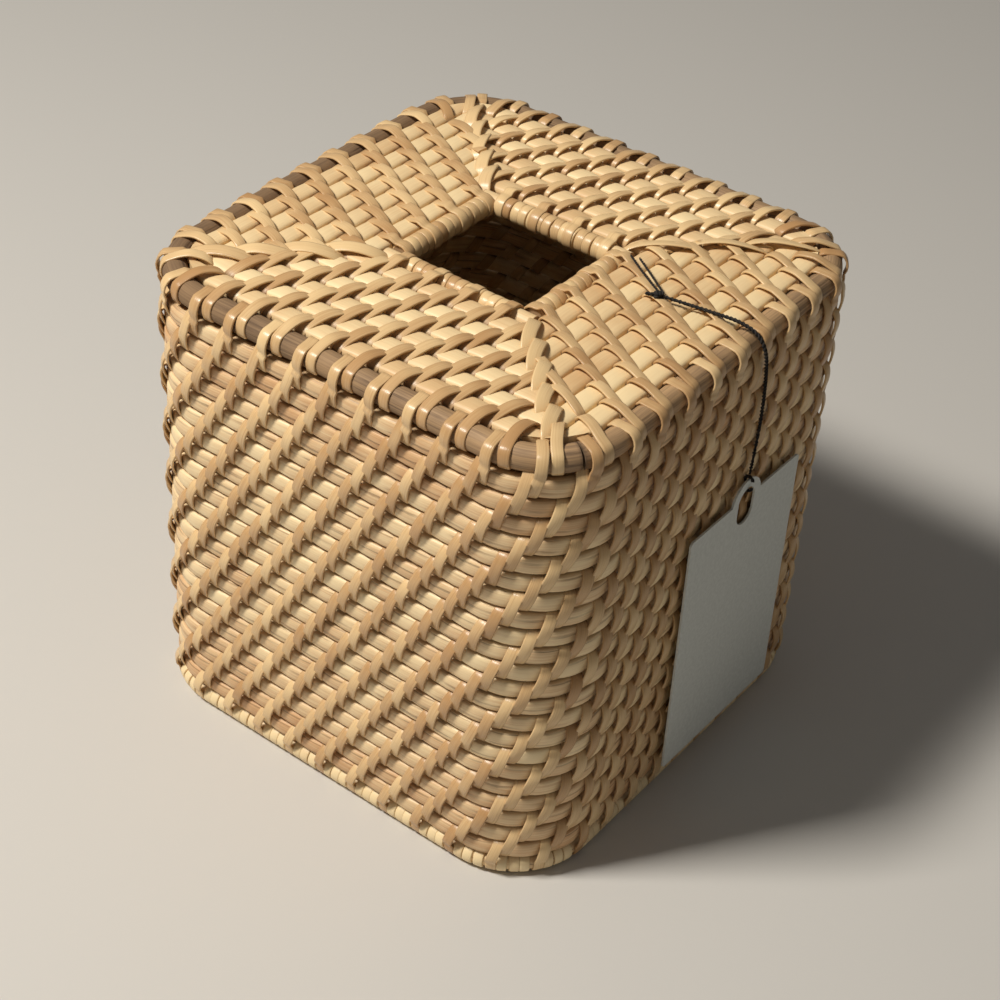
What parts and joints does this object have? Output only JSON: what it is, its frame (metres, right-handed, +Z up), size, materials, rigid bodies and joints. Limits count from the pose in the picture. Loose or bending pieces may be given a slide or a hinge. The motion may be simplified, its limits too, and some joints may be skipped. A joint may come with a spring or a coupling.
{
  "type": "tissue box cover",
  "caption": "Cube-shaped woven rattan cover that goes over a box of tissues, open at the bottom, with a square opening in the top and a bare card tag on a black cord.",
  "frame": {"origin": "middle of the bottom rim, on the surface that the cover stands on", "axes": "+Z up, -Y is the front wall, +X is the wall with the tag"},
  "size_m": [0.1497, 0.146, 0.1465],
  "materials": {
    "wall_rod": "matte split rattan",
    "top_rod": "smooth rattan core",
    "edge_cane": "satin brown cane",
    "peel": "satin rattan peel",
    "card": "matte bare card",
    "cord": "twisted thread"
  },
  "bodies": {
    "cover": {"wall_rod_01": "wall_rod", "wall_rod_02": "wall_rod", "wall_rod_03": "wall_rod", "wall_rod_04": "wall_rod", "wall_rod_05": "wall_rod", "wall_rod_06": "wall_rod", "wall_rod_07": "wall_rod", "wall_rod_08": "wall_rod", "wall_rod_09": "wall_rod", "wall_rod_10": "wall_rod", "wall_rod_11": "wall_rod", "wall_rod_12": "wall_rod", "wall_rod_13": "wall_rod", "wall_rod_14": "wall_rod", "wall_rod_15": "wall_rod", "wall_rod_16": "wall_rod", "wall_rod_17": "wall_rod", "wall_rod_18": "wall_rod", "wall_rod_19": "wall_rod", "wall_rod_20": "wall_rod", "wall_rod_21": "wall_rod", "wall_rod_22": "wall_rod", "bottom_rim_rod": "wall_rod", "top_rods_front": "top_rod", "top_rods_right": "top_rod", "top_rods_back": "top_rod", "top_rods_left": "top_rod", "opening_rod_front": "top_rod", "opening_rod_right": "top_rod", "opening_rod_back": "top_rod", "opening_rod_left": "top_rod", "top_edge_rod": "edge_cane", "strips_front": "peel", "strips_right": "peel", "strips_back": "peel", "strips_left": "peel", "corner_strips_front_right": "peel", "corner_strips_back_right": "peel", "corner_strips_back_left": "peel", "corner_strips_front_left": "peel", "opening_wraps_front": "peel", "opening_wraps_right": "peel", "opening_wraps_back": "peel", "opening_wraps_left": "peel", "lashing_front_right": "peel", "lashing_back_right": "peel", "lashing_back_left": "peel", "lashing_front_left": "peel", "tag_cord": "cord", "cord_strand_1": "cord", "cord_strand_2": "cord", "cord_knot": "cord"},
    "loop": {"tag_loop": "cord"},
    "tag": {"tag": "card"}
  },
  "joints": [
    {"name": "tag_swing", "type": "hinge", "parent": "cover", "child": "loop", "pos_m": [0.075, 0.012, 0.0977], "axis": [0, -1, 0], "range_deg": [0, 80]},
    {"name": "tag_sway", "type": "hinge", "parent": "loop", "child": "tag", "pos_m": [0.075, 0.012, 0.0952], "axis": [1, 0, 0], "range_deg": [-14, 14]}
  ]
}
